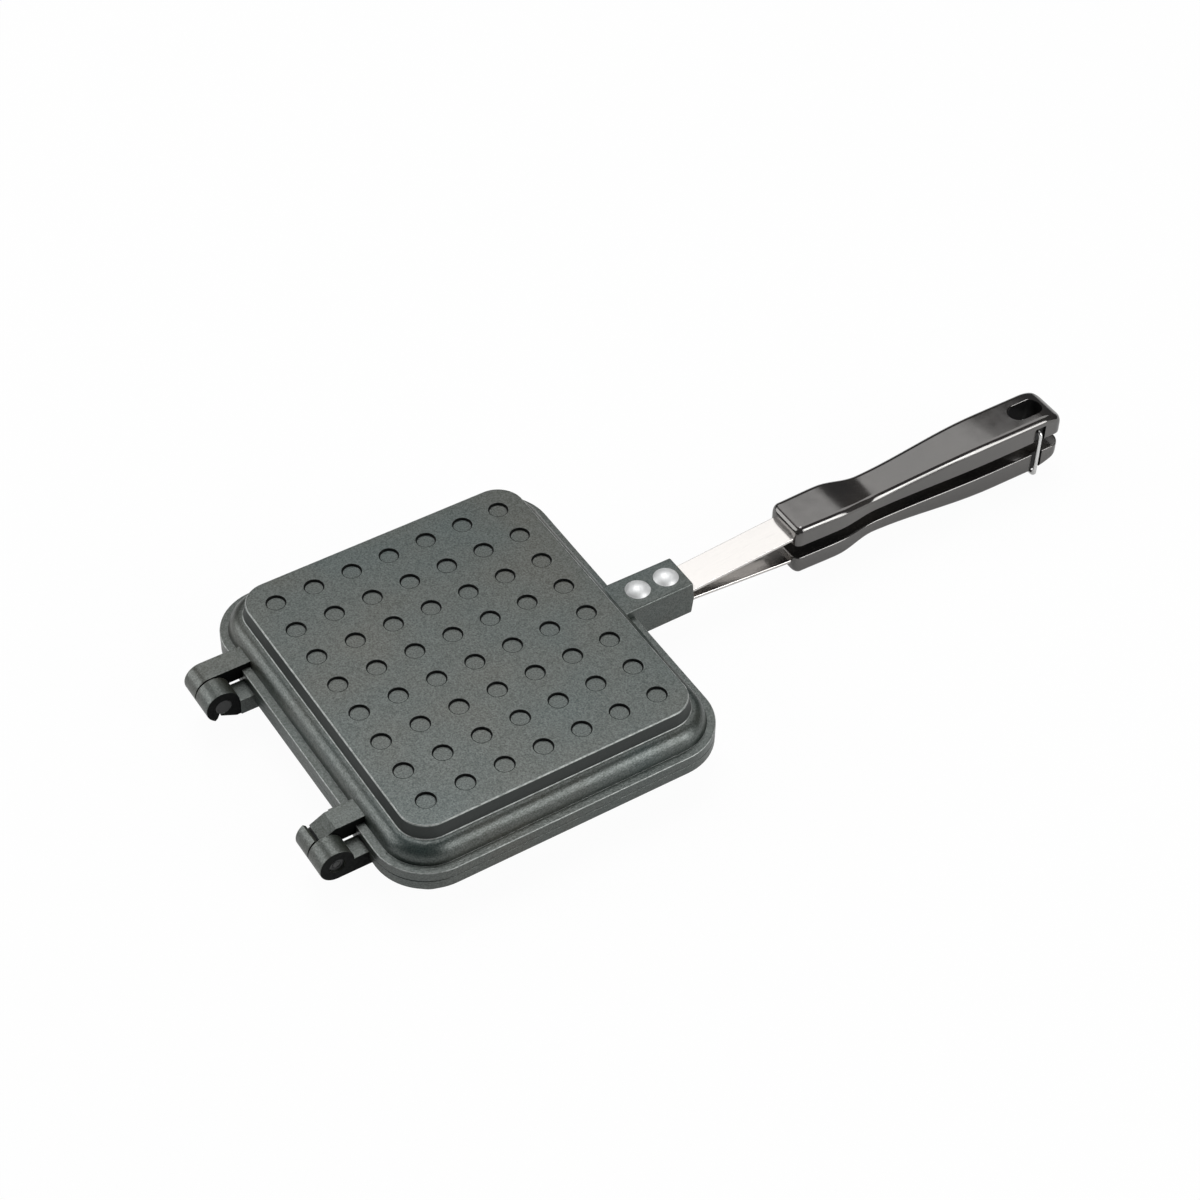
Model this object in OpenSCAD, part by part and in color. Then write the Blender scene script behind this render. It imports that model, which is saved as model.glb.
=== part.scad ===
// Pie iron for toasting filled sandwiches over a burner.
// Two identical cast plates meet at a parting plane. The lower half is the upper half
// turned half a turn about the long axis, so each half carries one pin lug and one hook.
// Millimetres. Origin: centre of the lower plate's flat underside, +Z up, +X to the grips.

/* [Plates] */
// Length of a plate across its flange, along X
plate_l = 143.5; // [138:0.5:152]
// Width of a plate across its flange, along Y
plate_w = 161; // [152:0.5:170]
// Corner radius of the flange
rim_r = 22; // [20:0.5:26]
// Height of the flange's upright edge
rim_h = 4.5; // [3.4:0.1:5.6]
// Width of the flat ledge between flange edge and shoulder
ledge_w = 3.6; // [2.5:0.1:5]
// Width of the rounded shoulder, seen from above
shoulder_w = 6; // [4.5:0.1:6.5]
// Height of the rounded shoulder
shoulder_h = 7.6; // [7:0.1:10]
// Width of the steep step below the raised face
step_w = 1.15; // [0.6:0.05:1.8]
// Height of the steep step below the raised face
step_h = 6.2; // [5:0.1:8]
// Wall thickness of the casting
wall = 3; // [2.4:0.1:3.6]
// Thickness of the heated face
face_t = 3.2; // [2.8:0.1:4]
// Width of the flat land on which the two plates meet
land_w = 6.2; // [5:0.1:7.5]
// Gap between the two lands when the iron is shut
land_gap = 0.2; // [0.1:0.05:0.6]

/* [Dimples] */
// Diameter of a dimple in the heated face
dimple_d = 7.9; // [6:0.1:10]
// Depth of a dimple
dimple_depth = 0.9; // [0.6:0.1:1.8]
// Distance between dimple centres
dimple_pitch = 16.5; // [14:0.1:17]
// Dimples along X
dimple_cols = 7; // [3:1:7]
// Dimples along Y
dimple_rows = 8; // [3:1:8]

/* [Hinges] */
// Distance from the flange edge to the pin axis
pin_reach = 13; // [12:0.1:16]
// Diameter of a hinge pin
pin_d = 6.5; // [5:0.1:7]
// Depth that a pin's end lies below the lug's outer face
pin_recess = 0.9; // [0.4:0.1:2]
// Outer radius of the lug's and the hook's eye
eye_r = 7; // [6.3:0.1:8]
// Distance from the centre line to the lug's outer face
lug_y = 54.5; // [50:0.5:57]
// Thickness of the lug along Y
lug_t = 9.3; // [6:0.1:11]
// Thickness of the hook along Y
hook_t = 9.2; // [6:0.1:11]
// Height of the hook's arm above the parting plane
hook_arm_h = 7.5; // [6.8:0.1:8.2]
// Extra width of the hook's arm on its inner side
hook_web = 0.5; // [0.2:0.1:4]
// Width of the slit that opens the hook's eye
hook_slit = 1; // [0.5:0.1:2]
// Side gap between lug and hook
seam = 0.5; // [0.3:0.05:1]
// Running clearance round the pin in the hook
pin_fit = 0.08; // [0.02:0.01:0.1]

/* [Handle stub] */
// Length of the stub beyond the flange
stub_l = 28; // [26:0.5:34]
// Width of the stub at its root
stub_w0 = 17.4; // [16.8:0.1:22]
// Width of the stub at its end
stub_w1 = 17; // [16:0.1:22]
// Height of the stub above the parting plane
stub_h = 8.2; // [7:0.1:8.8]
// Draft of the stub's end face over its height
stub_draft = 0.9; // [0:0.1:1.5]

/* [Straps] */
// Width of a strap
strap_w = 14.4; // [12:0.1:14.6]
// Thickness of a strap
strap_t = 1.5; // [1:0.1:2]
// Height of a strap's inner face above the parting plane inside the stub
strap_z0 = 1.6; // [1.4:0.1:2.4]
// Height of a strap's inner face above the parting plane inside the grip
strap_z1 = 5.4; // [5:0.1:5.8]
// Free length of a strap between stub and grip
strap_free = 48; // [35:0.5:70]
// Length of a strap's tang inside the grip
tang_l = 37; // [30:0.5:42]
// Diameter of the hole that locks the tang in the grip
tang_hole_d = 5; // [3:0.5:7]

/* [Rivets] */
// Diameter of a rivet's domed head
rivet_head_d = 10.2; // [8:0.1:12]
// Height of a rivet's domed head
rivet_head_h = 2.7; // [2:0.1:3.5]
// Diameter of a rivet's shank
rivet_d = 5; // [4:0.1:6]
// Diameter of the formed tail under the strap
rivet_tail_d = 7.6; // [6.5:0.1:9]
// Height of the formed tail
rivet_tail_h = 1.1; // [0.6:0.1:1.2]
// Distance between the two rivets
rivet_pitch = 13.1; // [12.5:0.1:16]
// Distance from the stub's end to the nearer rivet
rivet_edge = 8.2; // [6.5:0.1:9]

/* [Grips] */
// Length of a grip
grip_l = 136.5; // [130:1:155]
// Height of a grip's inner face above the parting plane
grip_gap = 3.2; // [2:0.1:3.6]
// Width of the grip's front block
block_w = 20.4; // [18:0.1:24]
// Height of the grip's front block above the parting plane
block_h = 12.4; // [11.4:0.1:13.4]
// Width of the grip's neck
neck_w = 16.3; // [15.6:0.1:18]
// Height of the grip's neck above the parting plane
neck_h = 10.3; // [9.6:0.1:11.4]
// Width of the grip behind the neck
tail_w = 19.6; // [18:0.1:21]
// Height of the grip at its tail above the parting plane
tail_h = 14.2; // [13.4:0.1:15.4]
// Radius of the grip's outer long edges
grip_edge_r = 2.7; // [1.4:0.1:3]
// Length of the hanging hole
hang_l = 16; // [11:0.5:17]
// Width of the hanging hole
hang_w = 8.8; // [6:0.1:9.2]
// Distance from the hanging hole's centre to the grip's end
hang_end = 15; // [12.5:0.1:16]

/* [Bail] */
// Diameter of the bail's wire
wire_d = 1.7; // [1.4:0.1:2.2]
// Height of the bail's pivot above the parting plane
bail_z = 8.9; // [8.2:0.1:9.6]
// Distance from the bail's pivot to the grip's end
bail_end = 14.5; // [12.5:0.1:15.5]
// Distance from the bail's pivot to its crossbar
bail_l = 23.1; // [22.6:0.1:25]
// Side gap between the bail's legs and the grips
bail_gap = 0.4; // [0.3:0.05:1]
// Depth of the bail's ends in the upper grip, from its side
bail_in = 3; // [2:0.1:3.1]
// Depth of the pocket round the bail's legs in the grips' sides
pocket_d = 1.1; // [0.5:0.1:1.5]
// Running clearance round the bail's ends
bail_fit = 0.08; // [0.02:0.01:0.1]
// Clearance between the swinging crossbar and the lower grip
swing_gap = 0.4; // [0.3:0.05:1]

/* [Hidden] */
$fn = 64;

COATING = [0.36, 0.38, 0.37];
STEEL = [0.82, 0.81, 0.79];
DARK_STEEL = [0.18, 0.18, 0.18];
ALUMINIUM = [0.74, 0.75, 0.76];
PHENOLIC = [0.07, 0.07, 0.07];

plate_h = rim_h + shoulder_h + step_h;
part_z = plate_h;
half_gap = land_gap / 2;
// Radii round a corner centre, from the flange inwards to the raised face
ridge_r = rim_r - ledge_w;
step_r = ridge_r - shoulder_w;
face_r = step_r - step_w;
// Corner centres of the flange, ledge, shoulder and raised face
core_x = plate_l / 2 - rim_r;
core_y = plate_w / 2 - rim_r;

pin_x = -plate_l / 2 - pin_reach;
lug_y0 = lug_y - lug_t;
hook_y1 = lug_y0 - seam;
hook_y0 = hook_y1 - hook_t;
// Arms end inside the flange's wall
arm_root_x = -plate_l / 2 + ledge_w + wall / 2;
// The hook's mouth, as offsets from the pin axis
mouth_apex = [-0.24 * eye_r, 0.58 * eye_r];
mouth_tip = [-0.64 * eye_r, 0.77 * eye_r];
mouth_arm = [0.73 * eye_r, hook_arm_h];

stub_x0 = plate_l / 2 - ledge_w - wall / 2;
stub_x1 = plate_l / 2 + stub_l;
strap_inset = 0.6;
strap_x0 = plate_l / 2 + strap_inset;
grip_x0 = stub_x1 + strap_free;
grip_x1 = grip_x0 + grip_l;
// The strap bends just outside the stub, and again just inside the grip
stub_margin = 2;
grip_margin = 1;
bend_x0 = stub_x1 + stub_margin;
bend_x1 = grip_x0 + grip_margin;
strap_x1 = grip_x0 + tang_l;
tang_hole_x = strap_x1 - 2 * tang_hole_d;
rivet_x1 = stub_x1 - rivet_edge;
rivet_x0 = rivet_x1 - rivet_pitch;

// Stations along the grip: end of the block, neck, start of the rise, end of the swell
block_l = 21;
dip_l = 20;
rise_lead = 6;
full_l = 35;
front_taper = 0.8;
neck_x0 = grip_x0 + block_l;
neck_x1 = neck_x0 + dip_l;
rise_x0 = neck_x1 - rise_lead;
swell_x1 = grip_x1 - full_l;
front_w = block_w - front_taper;
// Roundings of a grip: inner long edges, then front and tail in plan and in side view
inner_edge_r = 0.6;
front_plan_r = 3;
front_side_r = 3.5;
tail_plan_l = 5;
tail_plan_w = 8;
tail_side_l = 11.7;
tail_side_h = 8.4;
tail_inner_r = 1.4;
hang_x = grip_x1 - hang_end;

bail_x = grip_x1 - bail_end;
bail_ends_gap = 0.2;
leg_y = tail_w / 2 + bail_gap + wire_d / 2;
wire_bend_r = wire_d;
// The pocket starts before the leg and runs on behind it
pocket_front = 1;
pocket_l = 5.5;
pocket_x0 = bail_x - wire_d / 2 - pocket_front;
sweep_r = bail_l - wire_d / 2 - swing_gap;

// Outline of a cast half round one corner centre: [distance from centre, height]
function shoulder(r0, w, z0, h, n) =
    [for (i = [0:n]) [r0 + w * cos(90 * i / n), z0 + h * sin(90 * i / n)]];
outer_profile = concat(
    [[0, half_gap], [rim_r, half_gap], [rim_r, rim_h]],
    shoulder(step_r, shoulder_w, rim_h, shoulder_h, 8),
    [[face_r, plate_h], [0, plate_h]]);
cavity_drop = 0.8;
cavity_profile = concat(
    [[0, -1], [rim_r - land_w, -1]],
    shoulder(step_r - wall, shoulder_w, rim_h - cavity_drop, shoulder_h + cavity_drop - wall, 8),
    [[face_r - wall, plate_h - face_t], [0, plate_h - face_t]]);

// Solid with rounded corners whose edge follows a profile
module rounded_solid(profile, z0, z1) {
    for (q = [0:3])
        rotate([0, 0, 90 * q])
            translate(q % 2 == 0 ? [core_x, core_y, 0] : [core_y, core_x, 0])
                rotate_extrude(angle = 90) polygon(profile);
    for (s = [0, 180])
        rotate([0, 0, s]) {
            translate([core_x, 0, 0])
                rotate([90, 0, 0]) linear_extrude(2 * core_y, center = true) polygon(profile);
            rotate([0, 0, 90]) translate([core_y, 0, 0])
                rotate([90, 0, 0]) linear_extrude(2 * core_x, center = true) polygon(profile);
        }
    translate([-core_x, -core_y, z0]) cube([2 * core_x, 2 * core_y, z1 - z0]);
}

// Cylinder along Y from y0 to y1 round a point of the XZ plane
module y_rod(x, z, y0, y1, r)
    translate([x, y0, z]) rotate([-90, 0, 0]) cylinder(r = r, h = y1 - y0);

// Plate-like solid: an XZ outline drawn along Y from y0 to y1
module y_slab(points, y0, y1)
    translate([0, y1, 0]) rotate([90, 0, 0]) linear_extrude(y1 - y0) polygon(points);

module dimples()
    for (i = [0:dimple_cols - 1])
        for (j = [0:dimple_rows - 1])
            translate([(i - (dimple_cols - 1) / 2) * dimple_pitch,
                       (j - (dimple_rows - 1) / 2) * dimple_pitch,
                       plate_h - dimple_depth])
                cylinder(d = dimple_d, h = dimple_depth + 1);

// Closed eye that holds the pin, on the +Y side
module pin_lug()
    difference() {
        union() {
            y_rod(pin_x, 0, lug_y0, lug_y, eye_r);
            translate([pin_x, lug_y0, half_gap])
                cube([arm_root_x - pin_x, lug_t, eye_r - half_gap]);
        }
        y_rod(pin_x, 0, lug_y0 - 1, lug_y + 1, pin_d / 2);
    }

// Slit eye that turns on the other half's pin, on the -Y side
module hook()
    difference() {
        union() {
            y_rod(pin_x, 0, -hook_y1, -hook_y0, eye_r);
            y_slab([[pin_x, half_gap], [arm_root_x, half_gap], [arm_root_x, hook_arm_h],
                    [pin_x + mouth_arm[0], hook_arm_h], [pin_x, mouth_apex[1]]],
                   -hook_y1, -hook_y0);
            y_slab([[pin_x + eye_r, half_gap], [arm_root_x, half_gap],
                    [arm_root_x, hook_arm_h], [pin_x + eye_r, hook_arm_h]],
                   -hook_y0, -hook_y0 + hook_web);
        }
        y_rod(pin_x, 0, -hook_y1 - 1, -hook_y0 + 1, pin_d / 2 + pin_fit);
        // V-shaped mouth between claw and arm
        translate([pin_x, 0, 0])
            y_slab([mouth_apex, mouth_arm, [mouth_arm[0], 2 * eye_r],
                    2 * mouth_tip],
                   -hook_y1 - 1, -hook_y0 + 1);
        // Slit from the mouth into the eye
        translate([pin_x, -hook_y1 - 1, 0])
            rotate([0, -atan2(mouth_apex[1], mouth_apex[0]), 0])
                translate([0, 0, -hook_slit / 2]) cube([0.8 * eye_r, hook_t + 2, hook_slit]);
    }

// Cast tongue that carries the strap
module stub()
    difference() {
        intersection() {
            linear_extrude(stub_h)
                polygon([[stub_x0, -stub_w0 / 2], [stub_x1, -stub_w1 / 2],
                         [stub_x1, stub_w1 / 2], [stub_x0, stub_w0 / 2]]);
            y_slab([[stub_x0, half_gap], [stub_x1, half_gap],
                    [stub_x1 - stub_draft, stub_h], [stub_x0, stub_h]], -stub_w0, stub_w0);
        }
        translate([strap_x0, -strap_w / 2, -1])
            cube([stub_x1, strap_w, 1 + strap_z0 + strap_t]);
        for (x = [rivet_x0, rivet_x1])
            translate([x, 0, 0]) cylinder(d = rivet_d, h = stub_h + 1);
    }

module half_plate()
    color(COATING) {
        difference() {
            rounded_solid(outer_profile, half_gap, plate_h);
            rounded_solid(cavity_profile, -1, plate_h - face_t);
            dimples();
        }
        pin_lug();
        hook();
        stub();
    }

module half_pin()
    color(DARK_STEEL) y_rod(pin_x, 0, hook_y0, lug_y - pin_recess, pin_d / 2);

// Side view of a strap: flat in the stub, splayed, then flat again in the grip
module half_strap() {
    slope = atan2(strap_z1 - strap_z0, bend_x1 - bend_x0);
    mitre = strap_t * tan(slope / 2);
    color(STEEL)
        difference() {
            y_slab([[strap_x0, strap_z0], [bend_x0, strap_z0], [bend_x1, strap_z1],
                    [strap_x1, strap_z1], [strap_x1, strap_z1 + strap_t],
                    [bend_x1 - mitre, strap_z1 + strap_t],
                    [bend_x0 - mitre, strap_z0 + strap_t], [strap_x0, strap_z0 + strap_t]],
                   -strap_w / 2, strap_w / 2);
            for (x = [rivet_x0, rivet_x1])
                translate([x, 0, 0]) cylinder(d = rivet_d, h = stub_h);
            translate([tang_hole_x, 0, 0]) cylinder(d = tang_hole_d, h = block_h);
        }
}

module half_rivets() {
    head_r = rivet_head_d / 2;
    dome_r = (head_r * head_r + rivet_head_h * rivet_head_h) / (2 * rivet_head_h);
    dome_a = asin(head_r / dome_r);
    dome = [for (i = [0:8]) [dome_r * sin(dome_a * (8 - i) / 8),
                            stub_h + rivet_head_h - dome_r + dome_r * cos(dome_a * (8 - i) / 8)]];
    color(ALUMINIUM)
        for (x = [rivet_x0, rivet_x1])
            translate([x, 0, 0])
                rotate_extrude()
                    polygon(concat([[0, strap_z0 - rivet_tail_h],
                                    [rivet_tail_d / 2, strap_z0 - rivet_tail_h],
                                    [rivet_tail_d / 2, strap_z0], [rivet_d / 2, strap_z0],
                                    [rivet_d / 2, stub_h]], dome));
}

// Smooth change from a to b while x goes from x0 to x1
function ease(x, x0, x1, a, b) =
    let (t = max(0, min(1, (x - x0) / (x1 - x0)))) a + (b - a) * (1 - cos(180 * t)) / 2;
// Loss at distance d from an end that is rounded over a length r, h at the end itself
function round_off(d, r, h) =
    let (u = max(0, min(1, 1 - d / r))) h * (1 - sqrt(1 - u * u));
function grip_half_w(x) =
    ease(x, grip_x0, neck_x0, front_w / 2, block_w / 2)
    + ease(x, neck_x0, neck_x1, 0, (neck_w - block_w) / 2)
    + ease(x, neck_x1, swell_x1, 0, (tail_w - neck_w) / 2)
    - round_off(x - grip_x0, front_plan_r, front_plan_r)
    - round_off(grip_x1 - x, tail_plan_l, tail_plan_w);
function grip_top(x) =
    block_h
    + ease(x, neck_x0, neck_x1, 0, neck_h - block_h)
    + ease(x, rise_x0, swell_x1, 0, tail_h - neck_h)
    - round_off(x - grip_x0, front_side_r, front_side_r)
    - round_off(grip_x1 - x, tail_side_l, tail_side_h);
function grip_bottom(x) =
    grip_gap + round_off(x - grip_x0, inner_edge_r, inner_edge_r)
    + round_off(grip_x1 - x, tail_inner_r, tail_inner_r);
// Rounded-rectangle section of a grip, from the lower right corner counterclockwise
function corner_arc(cy, cz, r, a0, n) =
    [for (i = [0:n]) [cy + r * cos(a0 + 90 * i / n), cz + r * sin(a0 + 90 * i / n)]];
function grip_section(x) =
    let (w = grip_half_w(x), t = grip_top(x), b = grip_bottom(x),
         r = min(grip_edge_r, 0.8 * w, 0.6 * (t - b)), s = min(inner_edge_r, 0.3 * (t - b)))
    [for (p = concat(corner_arc(w - s, b + s, s, -90, 2), corner_arc(w - r, t - r, r, 0, 5),
                     corner_arc(r - w, t - r, r, 90, 5), corner_arc(s - w, b + s, s, 180, 2)))
        [x, p[0], p[1]]];
grip_stations = concat(
    [for (i = [0:5]) grip_x0 + front_side_r * (1 - cos(90 * i / 5))],
    [for (i = [1:3]) grip_x0 + front_side_r + i * (neck_x0 - grip_x0 - front_side_r) / 4],
    [for (i = [0:9]) neck_x0 + i * (neck_x1 - neck_x0) / 9],
    [for (i = [1:9]) neck_x1 + i * (swell_x1 - neck_x1) / 9],
    [for (i = [1:3]) swell_x1 + i * (grip_x1 - tail_side_l - swell_x1) / 4],
    [for (i = [0:9]) grip_x1 - tail_side_l * (1 - sin(88 * i / 9))]);

module grip_body() {
    rings = [for (x = grip_stations) grip_section(x)];
    m = len(rings);
    n = len(rings[0]);
    polyhedron(
        points = [for (ring = rings) for (p = ring) p],
        faces = concat(
            [[for (k = [0:n - 1]) k]],
            [[for (k = [n - 1:-1:0]) (m - 1) * n + k]],
            [for (i = [0:m - 2]) for (k = [0:n - 1])
                let (a = i * n + k, b = i * n + (k + 1) % n) [b, a, a + n]],
            [for (i = [0:m - 2]) for (k = [0:n - 1])
                let (a = i * n + k, b = i * n + (k + 1) % n) [b, a + n, b + n]]));
}

// Grip with its strap slot and hanging hole
module half_grip()
    difference() {
        grip_body();
        half_strap();
        hanging_hole();
    }

// Oblong cutter for the hanging hole
module hanging_hole() {
    reach = hang_l / 2 - hang_w / 2;
    for (s = [-1, 1])
        translate([hang_x + s * reach, 0, 0]) cylinder(d = hang_w, h = 2 * tail_h);
    translate([hang_x - reach, -hang_w / 2, 0]) cube([2 * reach, hang_w, 2 * tail_h]);
}

// Side pockets that take the bail's legs, from height z0 to z1
module leg_pockets(z0, z1)
    for (s = [-1, 1])
        translate([pocket_x0, s > 0 ? tail_w / 2 - pocket_d : -tail_w / 2 - 1, z0])
            cube([pocket_l, pocket_d + 1, z1 - z0]);

// Turns the upper half into the lower half about the parting plane
module lower() translate([0, 0, part_z]) rotate([180, 0, 0]) children();
module upper() translate([0, 0, part_z]) children();

module lower_plate() lower() half_plate();
module upper_plate() upper() half_plate();
module hinge_pin_near() lower() half_pin();
module hinge_pin_far() upper() half_pin();
module lower_strap() lower() half_strap();
module upper_strap() upper() half_strap();
module lower_rivets() lower() half_rivets();
module upper_rivets() upper() half_rivets();

module upper_grip()
    upper() color(PHENOLIC)
        difference() {
            half_grip();
            leg_pockets(0, bail_z + wire_d);
            for (s = [0, 1])
                mirror([0, s, 0])
                    y_rod(bail_x, bail_z, tail_w / 2 - bail_in - bail_ends_gap, tail_w,
                          wire_d / 2 + bail_fit);
        }

module lower_grip()
    color(PHENOLIC)
        difference() {
            lower() difference() {
                half_grip();
                leg_pockets(0, 2 * tail_h);
            }
            // Path of the bail's crossbar round the grip's tail
            translate([0, 0, part_z])
                difference() {
                    translate([pocket_x0, -tail_w, -2 * bail_l])
                        cube([2 * bail_l, 2 * tail_w, 2 * bail_l]);
                    y_rod(bail_x, bail_z, -2 * tail_w, 2 * tail_w, sweep_r);
                }
        }

// Wire bail: two ends in the upper grip, two legs, and a crossbar under the lower grip
module bail() {
    r = wire_d / 2;
    b = wire_bend_r;
    color(STEEL)
        upper() translate([bail_x, 0, bail_z]) {
            for (s = [0, 180])
                rotate([0, 0, s]) {
                    y_rod(0, 0, tail_w / 2 - bail_in, leg_y - b, r);
                    translate([0, leg_y, -bail_l + b]) cylinder(r = r, h = bail_l - 2 * b);
                    translate([0, leg_y - b, -b]) rotate([90, 0, 90])
                        rotate_extrude(angle = 90) translate([b, 0]) circle(r);
                    translate([0, leg_y - b, -bail_l + b]) rotate([0, 90, 0])
                        rotate_extrude(angle = 90) translate([b, 0]) circle(r);
                }
            y_rod(0, -bail_l, -leg_y + b, leg_y - b, r);
        }
}

lower_plate();
upper_plate();
hinge_pin_near();
hinge_pin_far();
lower_strap();
upper_strap();
lower_rivets();
upper_rivets();
lower_grip();
upper_grip();
bail();
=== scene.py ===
# %% [markdown]
# # Dressing a pie iron
# A pie iron toasts a filled sandwich over a burner. It is two identical cast plates on a
# split hinge, each with a steel strap riveted to it and a black grip on the strap, and a
# wire bail that ties the grips together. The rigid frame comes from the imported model. This
# lesson puts finely rounded, well finished pieces where the frame's plain solids are.

# %% Load the frame
import math

import bmesh
import bpy
from mathutils import Matrix, Vector


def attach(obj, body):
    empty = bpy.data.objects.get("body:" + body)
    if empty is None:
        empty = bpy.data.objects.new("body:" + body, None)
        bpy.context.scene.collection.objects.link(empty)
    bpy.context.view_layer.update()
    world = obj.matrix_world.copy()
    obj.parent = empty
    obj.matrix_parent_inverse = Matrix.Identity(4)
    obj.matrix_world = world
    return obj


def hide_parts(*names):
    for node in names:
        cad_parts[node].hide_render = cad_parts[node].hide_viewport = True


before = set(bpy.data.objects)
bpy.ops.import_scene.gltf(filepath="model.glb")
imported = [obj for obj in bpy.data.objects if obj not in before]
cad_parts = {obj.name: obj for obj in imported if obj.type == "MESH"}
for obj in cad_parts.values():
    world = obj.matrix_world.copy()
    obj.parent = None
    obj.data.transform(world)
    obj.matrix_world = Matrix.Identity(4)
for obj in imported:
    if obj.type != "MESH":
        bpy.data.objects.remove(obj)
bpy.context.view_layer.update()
MM = 0.001

# %% [markdown]
# ## One drawing for two halves
# Both halves are one drawing. It is made lying on the parting plane, where the plates meet,
# and grows upward from it. The upper half is that drawing lifted to the parting height, and
# the lower half is the same drawing turned half a turn about the long axis. All sizes are
# millimetres here, as on a maker's drawing, and become metres when a piece is placed.

# %% Sizes of the casting
PLATE_L, PLATE_W, CORNER_R = 143.5, 161.0, 22.0
RIM_H, LEDGE_W = 4.5, 3.6
SHOULDER_W, SHOULDER_H = 6.0, 7.6
STEP_W, STEP_H = 1.15, 6.2
WALL, FACE_T, LAND_W = 3.0, 3.2, 6.2
HALF_GAP = 0.1
PLATE_H = RIM_H + SHOULDER_H + STEP_H
PARTING = PLATE_H
TO_UPPER = Matrix.Translation((0, 0, PARTING * MM)) @ Matrix.Scale(MM, 4)
TO_LOWER = TO_UPPER @ Matrix.Rotation(math.pi, 4, "X")
HALVES = {"upper": TO_UPPER, "lower": TO_LOWER}
print("parting plane at", PARTING, "mm")

# %% [markdown]
# ## The camera
# The photograph looks down on the iron from the front left, from more than a metre away,
# with a long lens. Its place was worked out from the corners of the plate and the ends of
# the grips, so it is written as three axes and a point rather than as angles.

# %% Set the camera
CAMERA_RIGHT = Vector((0.846010, -0.532860, 0.018083))
CAMERA_UP = Vector((0.371552, 0.613551, 0.696781))
CAMERA_BACK = Vector((-0.382381, -0.582765, 0.717056))
CAMERA_PLACE = Vector((-0.360394, -0.642136, 0.820111))
camera_data = bpy.data.cameras.new("camera")
camera_data.sensor_width = 36.0
camera_data.lens = 85.308
camera_data.clip_start, camera_data.clip_end = 0.05, 20.0
camera = bpy.data.objects.new("camera", camera_data)
bpy.context.scene.collection.objects.link(camera)
camera.matrix_world = Matrix.Translation(CAMERA_PLACE) @ Matrix(
    (CAMERA_RIGHT, CAMERA_UP, CAMERA_BACK)).transposed().to_4x4()
bpy.context.scene.camera = camera

# %% [markdown]
# ## Small tools
# A few helpers keep the cells short: one makes an object of points and faces, one bakes an
# object's modifiers into a plain mesh, one joins or cuts solids, one rounds edges, one marks
# faces with a finish, and one gives the finished mesh clean shading. Weighted normals keep
# the broad flat faces flat while the narrow roundings between them shade smoothly, which is
# what makes cast metal look cast.
#
# Most solids are lofts: closed rings of points, joined one after another. A prism is a loft
# of two rings, and so are a rod and a block.

# %% Mesh helpers
SAME_POINT = 1e-4


def new_object(name, data):
    made = bpy.data.objects.new(name, data)
    bpy.context.scene.collection.objects.link(made)
    return made


def outward(mesh):
    """Merges points that coincide and turns every face to look outward."""
    work = bmesh.new()
    work.from_mesh(mesh)
    bmesh.ops.remove_doubles(work, verts=work.verts, dist=SAME_POINT)
    bmesh.ops.recalc_face_normals(work, faces=work.faces)
    work.to_mesh(mesh)
    work.free()


def solid(name, points, faces):
    mesh = bpy.data.meshes.new(name)
    mesh.from_pydata([tuple(p) for p in points], [], faces)
    outward(mesh)
    return new_object(name, mesh)


def bake(made):
    """Turns the object's modifiers into a plain mesh."""
    graph = bpy.context.evaluated_depsgraph_get()
    mesh = bpy.data.meshes.new_from_object(made.evaluated_get(graph), depsgraph=graph)
    made.modifiers.clear()
    made.data = mesh
    return made


def combine(base, others, how):
    """Joins (UNION) or cuts (DIFFERENCE) solids, and removes the ones used up."""
    for other in others:
        step = base.modifiers.new(how, "BOOLEAN")
        step.operation, step.solver, step.object = how, "EXACT", other
        bake(base)
        bpy.data.objects.remove(other)
    return base


def smooth(made, sharp=38):
    """Shades smoothly over edges up to a number of degrees."""
    made.data.shade_smooth()
    made.data.set_sharp_from_angle(angle=math.radians(sharp))
    normals = made.modifiers.new("normals", "WEIGHTED_NORMAL")
    normals.keep_sharp = True
    return bake(made)


def round_edges(made, wanted, radius):
    """Rounds the edges that a test picks out."""
    work = bmesh.new()
    work.from_mesh(made.data)
    bmesh.ops.bevel(work, geom=[edge for edge in work.edges if wanted(edge)], offset=radius,
                    segments=3, affect="EDGES", profile=0.5, clamp_overlap=True)
    work.to_mesh(made.data)
    work.free()
    outward(made.data)


def mark(made, finish_index, wanted):
    """Gives the faces that a test picks out another of the object's finishes."""
    for face in made.data.polygons:
        if wanted(face):
            face.material_index = finish_index


def half_piece(master, half, name):
    """A copy of a drawing's mesh, in metres, at the upper or the lower half's place."""
    mesh = master.data.copy()
    mesh.transform(HALVES[half])
    return new_object(name, mesh)


# %% Rounded outlines
def arc(cx, cz, radius, start, end, steps):
    """Points on an arc, angles in degrees."""
    return [(cx + radius * math.cos(math.radians(start + (end - start) * i / steps)),
             cz + radius * math.sin(math.radians(start + (end - start) * i / steps)))
            for i in range(steps + 1)]


def rounded(points, radii, steps, closed=False):
    """Replaces each corner that has a radius by an arc that touches both its sides."""
    out, count = [], len(points)
    for i, (here, radius) in enumerate(zip(points, radii)):
        if radius <= 0 or (not closed and i in (0, count - 1)):
            out.append(tuple(here))
            continue
        here = Vector(here)
        before = (Vector(points[i - 1]) - here).normalized()
        after = (Vector(points[(i + 1) % count]) - here).normalized()
        half_angle = before.angle(after) / 2
        reach = radius / math.tan(half_angle)
        centre = here + (before + after).normalized() * radius / math.sin(half_angle)
        a, b = here + before * reach - centre, here + after * reach - centre
        turn = math.atan2(a.x * b.y - a.y * b.x, a.dot(b))
        for k in range(steps + 1):
            out.append(tuple(centre + Matrix.Rotation(turn * k / steps, 2) @ a))
    return out


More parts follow.
